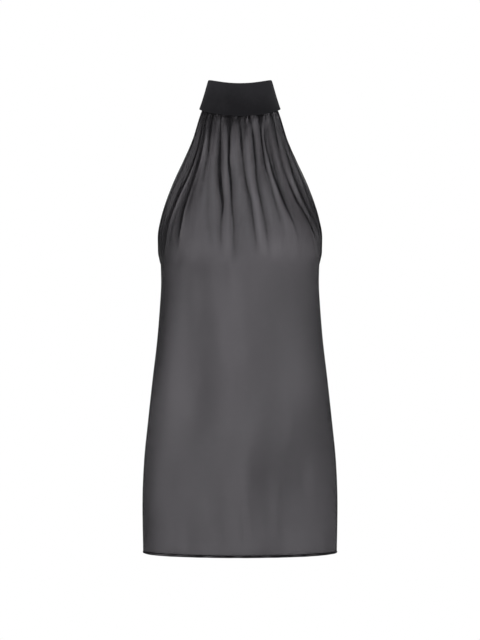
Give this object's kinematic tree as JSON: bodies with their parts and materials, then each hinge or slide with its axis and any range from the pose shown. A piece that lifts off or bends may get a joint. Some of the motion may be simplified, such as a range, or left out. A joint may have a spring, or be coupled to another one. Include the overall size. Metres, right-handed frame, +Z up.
{
  "type": "halter neck top",
  "caption": "Long sheer halter neck top in its worn form, gathered into a fold-over collar, sleeveless, with open armholes and a plain rolled hem.",
  "frame": {"origin": "middle of the wearer's neck, level with the neck seam at the sides of the collar", "axes": "+Z up along the body, the front faces -Y, +X to the right seen from the front"},
  "size_m": [0.3324, 0.2439, 0.8182],
  "materials": {
    "sheer_cloth": "sheer crinkled chiffon, see-through, soft matt with a faint sheen",
    "collar_cloth": "dense matt crepe, opaque",
    "binding_cloth": "narrow turned edge of the sheer cloth in several layers, nearly opaque"
  },
  "bodies": {
    "root": {"front_panel": "sheer_cloth", "back_panel": "sheer_cloth", "collar": "collar_cloth", "left_armhole_binding": "binding_cloth", "right_armhole_binding": "binding_cloth"}
  },
  "joints": []
}
